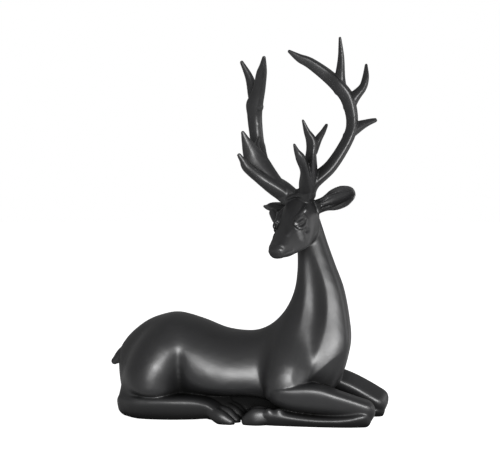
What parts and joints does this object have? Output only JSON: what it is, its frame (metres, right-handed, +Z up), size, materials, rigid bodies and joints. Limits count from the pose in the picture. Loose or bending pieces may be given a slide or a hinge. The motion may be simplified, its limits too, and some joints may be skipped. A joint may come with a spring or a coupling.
{
  "type": "reclining stag statue",
  "caption": "Cast iron statue of a stag lying down with folded legs, its antlered head turned back over one flank, satin black",
  "frame": {"origin": "on the ground plane, under the middle of the casting's bounding box", "axes": "+X from rump to chest, the way the body faces; +Y to the animal's left, away from the turned face; +Z up to the antler tips, the longest extent"},
  "size_m": [0.2792, 0.1302, 0.373],
  "materials": {
    "iron": "satin black paint over a fine cast skin"
  },
  "bodies": {
    "root": {"stag": "iron"}
  },
  "joints": []
}
